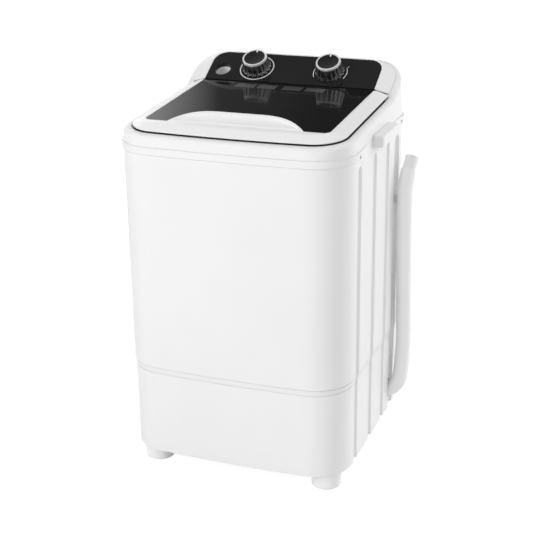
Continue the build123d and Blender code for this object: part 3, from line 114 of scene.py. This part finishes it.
class Nodes:
    """A material's node tree, with short calls for the few kinds of node that are used here."""

    def __init__(self, name):
        self.material = bpy.data.materials.new(name)
        self.material.use_nodes = True
        self.tree = self.material.node_tree
        self.shader = self.tree.nodes["Principled BSDF"]
        self.place = self.add("ShaderNodeTexCoord").outputs["Object"]

    def add(self, kind, **values):
        return new_node(self.tree, kind, **values)

    def link(self, source, target):
        self.tree.links.new(source, target)

    def feed(self, socket, source):
        """Links an output to a socket of the shader."""
        self.link(source, self.shader.inputs[socket])

    def fix(self, socket, value):
        """Sets a socket of the shader to one value."""
        self.shader.inputs[socket].default_value = value

    def noise(self, scale, detail=3.0, stretch=None):
        node = self.add("ShaderNodeTexNoise", Scale=scale, Detail=detail)
        source = self.place
        if stretch:
            mapping = self.add("ShaderNodeMapping", Scale=stretch)
            self.link(source, mapping.inputs["Vector"])
            source = mapping.outputs["Vector"]
        self.link(source, node.inputs["Vector"])
        return node.outputs["Fac"]

    def ramp(self, factor, stops):
        """Colours along a factor, from stops of a position and a colour."""
        node = self.add("ShaderNodeValToRGB")
        elements = node.color_ramp.elements
        elements[0].position, elements[0].color = stops[0]
        elements[1].position, elements[1].color = stops[-1]
        for position, colour in stops[1:-1]:
            elements.new(position).color = colour
        self.link(factor, node.inputs["Fac"])
        return node.outputs["Color"]

    def span(self, factor, low, high, start=NOISE_LOW, end=NOISE_HIGH):
        """Takes a factor that runs from start to end to a value from low to high."""
        limits = {"From Min": start, "From Max": end, "To Min": low, "To Max": high}
        node = self.add("ShaderNodeMapRange", **limits)
        self.link(factor, node.inputs["Value"])
        return node.outputs["Result"]

    def relief(self, height, strength, distance, edge=0.0):
        """Fine bumps, on edges that look rounded to that radius."""
        node = self.add("ShaderNodeBump", Strength=strength, Distance=distance)
        self.link(height, node.inputs["Height"])
        if edge:
            bevel = self.add("ShaderNodeBevel", Radius=edge, samples=4)
            self.link(bevel.outputs["Normal"], node.inputs["Normal"])
        self.feed("Normal", node.outputs["Normal"])


def tone(colour, factor=1.0):
    return (*[c * factor for c in colour], 1.0)


def grey(value):
    return tone((value, value, value))


def coat(name, dark, light, roughness, drift, gloss, grain, strength, depth, edge, ior):
    """Coat that drifts slowly between two colours and faster in its gloss, with a fine grain.
    Drift, gloss and grain are the scales of their noises."""
    n = Nodes(name)
    shades = [(NOISE_LOW, tone(dark)), (NOISE_HIGH, tone(light))]
    n.feed("Base Color", n.ramp(n.noise(drift, detail=2.0), shades))
    n.feed("Roughness", n.span(n.noise(gloss), *roughness))
    n.relief(n.noise(grain, detail=2.0), strength, depth, edge)
    n.fix("IOR", ior)
    return n.material


def plastic(name, colour, roughness, grain=900.0, depth=0.00001, vary=0.02, edge=0.0008, ior=1.5):
    """Moulded plastic with softened edges."""
    return coat(
        name,
        dark=[c * (1 - vary) for c in colour],
        light=colour,
        roughness=(roughness * 0.9, roughness * 1.12),
        drift=5.0,
        gloss=40.0,
        grain=grain,
        strength=0.25,
        depth=depth,
        edge=edge,
        ior=ior,
    )


def metal(name, colour, roughness, stretch=(30, 30, 900), edge=0.0003, metallic=1.0):
    """Drawn, cast or plated metal, with a finish that is finer along one axis where it is drawn."""
    n = Nodes(name)
    lines = n.noise(1.0, detail=4.0, stretch=stretch)
    shades = [(NOISE_LOW, tone(colour, 0.9)), (NOISE_HIGH, tone(colour))]
    n.feed("Base Color", n.ramp(lines, shades))
    n.feed("Roughness", n.span(lines, roughness * 0.8, roughness * 1.25))
    n.relief(lines, strength=0.15, distance=0.00002, edge=edge)
    n.fix("Metallic", metallic)
    return n.material


def hose_skin():
    """Flexible hose: matt and nearly white, with soft rings of flow marks."""
    n = Nodes("hose_pale")
    shades = [(NOISE_LOW, tone((0.95, 0.95, 0.952))), (NOISE_HIGH, grey(0.98))]
    n.feed("Base Color", n.ramp(n.noise(14.0), shades))
    n.feed("Roughness", n.span(n.noise(60.0), low=0.40, high=0.52))
    n.relief(n.noise(1.0, stretch=(30, 30, 260)), strength=0.35, distance=0.0004)
    return n.material


def chute_skin_painted_shade():
    """White chute with painted shade: black down to a set depth under the panel, standing in for the shade just
    inside the inlet hole.
    """
    n = Nodes("chute_white_painted_shade")
    normal = PANEL.col[2].to_3d()
    height = n.add("ShaderNodeVectorMath", operation="DOT_PRODUCT")
    n.link(n.place, height.inputs[0])
    height.inputs[1].default_value = normal
    rim = normal.dot(PANEL.col[3].to_3d()) - PAINTED_SHADE_DEPTH
    # painted shade: the chute's wall is black near the panel, in place of the shade just inside the hole
    painted_shade = n.span(height.outputs["Value"], 0.0, 1.0, start=rim - PAINTED_SHADE_EDGE, end=rim)
    n.feed("Base Color", n.ramp(painted_shade, [(0.0, grey(0.92)), (1.0, grey(0.01))]))
    n.feed("Roughness", n.span(n.noise(40.0), low=0.30, high=0.38))
    n.relief(n.noise(700.0, detail=2.0), strength=0.2, distance=0.00001)
    return n.material


shell = plastic("shell_white", (0.86, 0.86, 0.86), 0.36, ior=1.34)
trim_white = plastic("trim_white", (0.90, 0.90, 0.90), 0.32, edge=0.0, vary=0.01, ior=1.34)
pale = plastic("pale_plastic", (0.80, 0.81, 0.82), 0.42)
black_satin = plastic("black_satin", (0.02, 0.02, 0.021), 0.38)
cap_black = plastic("cap_black", (0.006, 0.006, 0.0065), 0.16, grain=300.0, edge=0.0006, ior=1.35)
rubber = plastic("rubber_black", (0.012, 0.012, 0.012), 0.65, grain=500.0, depth=0.0001)
enamel = plastic("motor_enamel", (0.10, 0.105, 0.11), 0.45)
pointer = plastic("pointer_white", (0.85, 0.85, 0.85), 0.35, edge=0.0)
print_white = plastic("print_white", (0.80, 0.80, 0.80), 0.4, edge=0.0)
print_faint = plastic("print_faint", (0.10, 0.10, 0.102), 0.35, edge=0.0)
knob_plated = metal("knob_plated", (0.60, 0.60, 0.61), 0.10, stretch=(60, 60, 60), edge=0.0006)
chrome = metal("bright_trim", (0.90, 0.90, 0.91), 0.24, stretch=(40, 40, 40), metallic=0.4)
steel = metal("zinc_steel", (0.56, 0.57, 0.58), 0.30)
cast = metal("cast_alloy", (0.50, 0.51, 0.52), 0.42, stretch=(220, 220, 220))
bronze = metal("bronze", (0.50, 0.34, 0.16), 0.35)
panel_black = coat(
    "panel_black",
    dark=(0.006, 0.006, 0.0065),
    light=(0.010, 0.010, 0.0105),
    roughness=(0.10, 0.15),
    drift=9.0,
    gloss=30.0,
    grain=140.0,
    strength=0.06,
    depth=0.00002,
    edge=0.0005,
    ior=1.28,
)
window_smoked = coat(
    "window_smoked",
    dark=(0.008, 0.008, 0.0085),
    light=(0.012, 0.012, 0.0125),
    roughness=(0.07, 0.10),
    drift=7.0,
    gloss=25.0,
    grain=60.0,
    strength=0.05,
    depth=0.00002,
    edge=0.0006,
    ior=1.15,
)

FINISH = {
    shell: "cabinet_shell side_handle_left side_handle_right top_frame control_bezel",
    trim_white: "lid_frame foot_front_left foot_front_right foot_rear_left foot_rear_right hose_cuff",
    chute_skin_painted_shade(): "inlet_chute",
    pale: "splash_guard wash_tub drain_grate pulsator base_frame bottom_cover drain_pipe hose_clip",
    panel_black: "control_panel",
    knob_plated: "timer_knob selector_knob",
    cap_black: "timer_knob_cap selector_knob_cap",
    window_smoked: "lid_window",
    black_satin: "hinge_brackets motor_pulley capacitor timer_body selector_body cord_gland",
    chrome: "timer_knob_ring selector_knob_ring timer_dial_ring",
    rubber: "lid_seal oil_seal motor_mounts drive_belt",
    steel: "hinge_pins frame_screws cover_screws bracket_bolts motor_bolts drive_shaft motor_shaft"
    " timer_shaft selector_shaft pulsator_screw hose_clamp capacitor_clamp motor_bracket",
    enamel: "motor_body",
    cast: "bearing_housing drive_pulley",
    bronze: "shaft_bushes",
}
for material, names in FINISH.items():
    for name in names.split():
        mesh = NODES[name].data
        mesh.materials.clear()
        mesh.materials.append(material)


def blacken_bezel():
    """Black edge of the bezel under the panel: its front wall and the wall of its inlet hole."""
    mesh = NODES["control_bezel"].data
    mesh.materials.append(black_satin)
    to_panel = PANEL.inverted()
    for polygon in mesh.polygons:
        spot = to_panel @ polygon.center
        in_front = abs(spot.x) < BEZEL_WALL_X and spot.y < BEZEL_WALL_Y
        in_hole = (spot - INLET).to_2d().length < INLET_R + INLET_PLAY
        if in_front or in_hole:
            polygon.material_index = 1


blacken_bezel()


# Objects and outlines
def add_object(name, data):
    """New object in the scene."""
    obj = bpy.data.objects.new(name, data)
    bpy.context.scene.collection.objects.link(obj)
    return obj


def add_mesh(name, bm, material):
    """New object from a finished mesh, in one material."""
    mesh = bpy.data.meshes.new(name)
    bm.to_mesh(mesh)
    bm.free()
    mesh.materials.append(material)
    return add_object(name, mesh)


def bar(left, right, near, far):
    """Outline of a rectangle."""
    return [(left, near), (right, near), (right, far), (left, far)]


def arc_band(centre, inner, outer, start, end, steps):
    """Outline of a curved band, angles in degrees from the top, clockwise."""
    def at(radius, degrees):
        a = radians(90 - degrees)
        return centre[0] + radius * cos(a), centre[1] + radius * sin(a)
    turns = [start + (end - start) * i / steps for i in range(steps + 1)]
    return [at(inner, t) for t in turns] + [at(outer, t) for t in reversed(turns)]


# Drain hose: the route's points, from the cabinet's middle, control one smooth spline
HOSE_ROUTE = [
    (0.1480, 0.1210, 0.0630),
    (0.2016, 0.1210, 0.0630),
    (0.2280, 0.1210, 0.0894),
    (0.2280, 0.1370, 0.1360),
    (0.2280, 0.1410, 0.1720),
    (0.2280, 0.1340, 0.2570),
    (0.2280, 0.1230, 0.3840),
    (0.2280, 0.1186, 0.4710),
    (0.2290, 0.1210, 0.4970),
    (0.2310, 0.1340, 0.5190),
]
HOSE_D = 0.030


def hose():
    """Flexible hose along its route, in place of the rigid one."""
    curve = bpy.data.curves.new("hose_line", "CURVE")
    curve.dimensions = "3D"
    line = curve.splines.new("NURBS")
    line.points.add(len(HOSE_ROUTE) - 1)
    for point, spot in zip(line.points, HOSE_ROUTE):
        point.co = (*from_middle(*spot), 1)
    line.order_u = 3
    line.use_endpoint_u = True
    line.resolution_u = 16
    curve.bevel_depth = HOSE_D / 2
    curve.bevel_resolution = 10
    curve.use_fill_caps = True
    curve.materials.append(hose_skin())
    tube = add_object("hose_tube", curve)
    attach(tube, "machine")
    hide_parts("drain_hose")


hose()


# Pointers on the knobs: width, place above the knob's middle and height off the panel
POINTER_W = 0.0028
POINTER_UP = (0.0155, 0.0232)
POINTER_OFF = (0.0248, 0.0262)

# Marks round the selector: radii, and turns in degrees from the top, clockwise
ARC_R = (0.0315, 0.0328)
ARC_TURNS = ((-118, -62), (62, 118))
DOT_R = (0.0345, 0.0368)
DOT_HALF_TURN = 1.6
TRAVEL_START, TRAVEL_END = JOINTS["selector_turn"]["range_deg"]

# Fine lines on the window: ends of the bars across the lid, and rows along it from its rear edge
HATCH_BARS = ((-0.0925, -0.054), (-0.049, -0.012), (0.0, 0.038), (0.044, 0.082))
HATCH_NEAR = -0.036
HATCH_FAR = -0.012
HATCH_PITCH = 0.0024
HATCH_LINE = 0.0011

# Thickness of a printed mark
PRINT = 0.00008


def plate(bm, outline, low, high, place):
    """Adds a flat piece of that outline, between two heights off its plane."""
    bottom = [bm.verts.new(place @ Vector((x, y, low))) for x, y in outline]
    top = [bm.verts.new(place @ Vector((x, y, high))) for x, y in outline]
    bm.faces.new(top)
    bm.faces.new(bottom[::-1])
    for i in range(len(outline)):
        j = (i + 1) % len(outline)
        bm.faces.new([bottom[i], bottom[j], top[j], top[i]])


def piece(name, bm, material, body):
    """Piece of the machine that moves with a body."""
    obj = add_mesh(name, bm, material)
    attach(obj, body)


def knob_pointers():
    """White pointer let into the notch of each knob's rim."""
    for name, x in (("timer", -KNOB_X), ("selector", KNOB_X)):
        bm = bmesh.new()
        outline = bar(x - POINTER_W / 2, x + POINTER_W / 2, *POINTER_UP)
        plate(bm, outline, *POINTER_OFF, PANEL)
        piece(f"{name}_pointer", bm, pointer, f"{name}_dial")


def selector_marks():
    """Two bright arcs beside the selector, and dots at the ends and the middle of its travel."""
    bm = bmesh.new()
    centre = (KNOB_X, 0)
    for start, end in ARC_TURNS:
        plate(bm, arc_band(centre, *ARC_R, start, end, steps=14), 0, PRINT, PANEL)
    for turn in (TRAVEL_START, 0, TRAVEL_END):
        ends = turn - DOT_HALF_TURN, turn + DOT_HALF_TURN
        plate(bm, arc_band(centre, *DOT_R, *ends, steps=2), 0, PRINT, PANEL)
    piece("selector_marks", bm, print_white, "machine")


def lid_hatching():
    """Four bars of fine lines in a row across the window, in front of the hinge."""
    bm = bmesh.new()
    for left, right in HATCH_BARS:
        for i in range(round((HATCH_FAR - HATCH_NEAR) / HATCH_PITCH)):
            y = HATCH_NEAR + i * HATCH_PITCH
            plate(bm, bar(left, right, y, y + HATCH_LINE), 0, PRINT, LID)
    piece("lid_hatching", bm, print_faint, "lid")


knob_pointers()
selector_marks()
lid_hatching()


# Floor and sky: what the camera and gloss show of them, and the light that they give the object.
# The sky fades by how far upwards it lies, where 1 is overhead.
FLOOR_R = 12.0
FLOOR_GLOW = 0.90
FLOOR_SEEN = 0.22
FLOOR_LIT = 0.80
SKY_LIGHT = 0.67
SKY_TOP = 0.5
SKY_FADE_START = 0.55
SKY_FADE_END = 0.90


def seen_white(tree):
    """Factor that is 1 for rays that show the background: straight, in gloss and through glass."""
    path = new_node(tree, "ShaderNodeLightPath")
    total = path.outputs["Is Camera Ray"]
    for name in ("Is Glossy Ray", "Is Transmission Ray"):
        either = new_node(tree, "ShaderNodeMath", operation="MAXIMUM")
        tree.links.new(total, either.inputs[0])
        tree.links.new(path.outputs[name], either.inputs[1])
        total = either.outputs[0]
    return total


def split_rays(tree, kind, lit, seen):
    """Output of a floor or sky that lights the object with one shader and is seen as another."""
    mix = new_node(tree, "ShaderNodeMixShader")
    tree.links.new(seen_white(tree), mix.inputs["Fac"])
    tree.links.new(lit.outputs[0], mix.inputs[1])
    tree.links.new(seen.outputs[0], mix.inputs[2])
    tree.links.new(mix.outputs[0], new_node(tree, kind).inputs["Surface"])


def floor():
    """Pale floor that keeps the object's shadow."""
    material = bpy.data.materials.new("floor_pale")
    material.use_nodes = True
    tree = material.node_tree
    tree.nodes.clear()
    glow = new_node(tree, "ShaderNodeEmission", Strength=FLOOR_GLOW)
    matt = new_node(tree, "ShaderNodeBsdfDiffuse", Color=grey(FLOOR_SEEN))
    both = new_node(tree, "ShaderNodeAddShader")
    tree.links.new(glow.outputs[0], both.inputs[0])
    tree.links.new(matt.outputs[0], both.inputs[1])
    lit = new_node(tree, "ShaderNodeBsdfDiffuse", Color=grey(FLOOR_LIT))
    split_rays(tree, "ShaderNodeOutputMaterial", lit, both)
    bm = bmesh.new()
    bmesh.ops.create_circle(bm, cap_ends=True, radius=FLOOR_R, segments=64)
    obj = add_mesh("floor", bm, material)


def sky():
    """White surroundings that darken overhead."""
    world = bpy.data.worlds.new("studio")
    bpy.context.scene.world = world
    world.use_nodes = True
    tree = world.node_tree
    tree.nodes.clear()
    soft = new_node(tree, "ShaderNodeBackground", Color=grey(1.0), Strength=SKY_LIGHT)
    white = new_node(tree, "ShaderNodeBackground", Color=grey(1.0))
    place = new_node(tree, "ShaderNodeTexCoord")
    parts = new_node(tree, "ShaderNodeSeparateXYZ")
    tree.links.new(place.outputs["Generated"], parts.inputs["Vector"])
    limits = {"From Min": SKY_FADE_START, "From Max": SKY_FADE_END, "To Min": 1.0, "To Max": SKY_TOP}
    fade = new_node(tree, "ShaderNodeMapRange", **limits)
    tree.links.new(parts.outputs["Z"], fade.inputs["Value"])
    tree.links.new(fade.outputs["Result"], white.inputs["Strength"])
    split_rays(tree, "ShaderNodeOutputWorld", soft, white)


# Lamps: place, point that it shines at, size and power in watts
LAMPS = {
    "key_left": ((-1.8, -3.1, 1.5), (0, 0, 0.35), (1.6, 2.2), 57),
    "side_right": ((2.4, 2.4, 1.5), (0, 0, 0.35), (1.6, 2.2), 53),
    "top": ((-0.2, -0.3, 3.4), (0, 0, 0.4), (2.4, 2.4), 6),
}


def lamp(name, place, aim, size, power):
    """Soft lamp that gloss doesn't show."""
    light = bpy.data.lights.new(name, "AREA")
    light.shape = "RECTANGLE"
    light.size, light.size_y = size
    light.energy = power
    obj = add_object(name, light)
    obj.location = place
    obj.rotation_mode = "QUATERNION"
    obj.rotation_quaternion = (Vector(aim) - Vector(place)).to_track_quat("-Z", "Y")
    obj.visible_glossy = False


# Studio cards: one behind the object, one on its left
CARD_X = (-3.4, 1.9)
CARD_Y = 2.1
CARD_Z = (0.95, 3.4)
CARD_GLOW = 2.4
CARD_PALE_X = -1.40
CARD_DARK_X = -0.60
FLAG_X = -1.3
FLAG_Y = (-0.7, 1.8)
FLAG_Z = (0.05, 2.6)


def card_nodes(name):
    """Material of a card that throws back next to nothing."""
    n = Nodes(name)
    n.fix("Base Color", grey(0.02))
    n.fix("Roughness", 1.0)
    n.fix("Specular IOR Level", 0.0)
    return n


def card(name, corners, material):
    """Flat card that casts no shadow and isn't seen straight or through glass."""
    bm = bmesh.new()
    bm.faces.new([bm.verts.new(corner) for corner in corners])
    obj = add_mesh(name, bm, material)
    obj.visible_camera = False
    obj.visible_shadow = False
    obj.visible_transmission = False
    return obj


def dark_card():
    """Dark card high behind the object, which only gloss shows, paling towards its left end."""
    n = card_nodes("card_dark")
    parts = n.add("ShaderNodeSeparateXYZ")
    n.link(n.place, parts.inputs["Vector"])
    along = n.span(parts.outputs["X"], 0.0, 1.0, start=CARD_PALE_X, end=CARD_DARK_X)
    shades = [(0.0, grey(0.95)), (0.45, grey(0.06)), (1.0, grey(0.015))]
    n.feed("Emission Color", n.ramp(along, shades))
    n.fix("Emission Strength", CARD_GLOW)
    corners = [(x, CARD_Y, z) for x, z in bar(*CARD_X, *CARD_Z)]
    obj = card("dark_card", corners, n.material)
    obj.visible_diffuse = False


def left_flag():
    """Black card on the left, which holds back some of the soft light from that side."""
    corners = [(FLAG_X, y, z) for y, z in bar(*FLAG_Y, *FLAG_Z)]
    obj = card("left_flag", corners, card_nodes("flag_black").material)
    obj.visible_glossy = False


# Camera at the photograph's place, from the cabinet's middle
CAMERA_AT = (0.76194, -1.99366, 1.13854)
CAMERA_AZIMUTH = radians(20.858)
CAMERA_ELEVATION = radians(20.538)
CAMERA_ROLL = -0.0125
SENSOR_MM = 36.0
LENS_MM = 80.74


def camera():
    """Camera that looks down at the front from the right, turned a little about its own axis."""
    level = cos(CAMERA_ELEVATION)
    back = Vector((sin(CAMERA_AZIMUTH) * level, -cos(CAMERA_AZIMUTH) * level, sin(CAMERA_ELEVATION)))
    right = (-back).cross(Vector((0, 0, 1))).normalized()
    up = right.cross(-back)
    turned_right = cos(CAMERA_ROLL) * right + sin(CAMERA_ROLL) * up
    turned_up = -sin(CAMERA_ROLL) * right + cos(CAMERA_ROLL) * up
    data = bpy.data.cameras.new("camera")
    data.sensor_width = SENSOR_MM
    data.lens = LENS_MM
    obj = add_object("camera", data)
    obj.matrix_world = axes(turned_right, turned_up, back, from_middle(*CAMERA_AT))
    bpy.context.scene.camera = obj


floor()
sky()
for name, values in LAMPS.items():
    lamp(name, *values)
dark_card()
left_flag()
camera()
bpy.context.scene.view_settings.view_transform = "Standard"
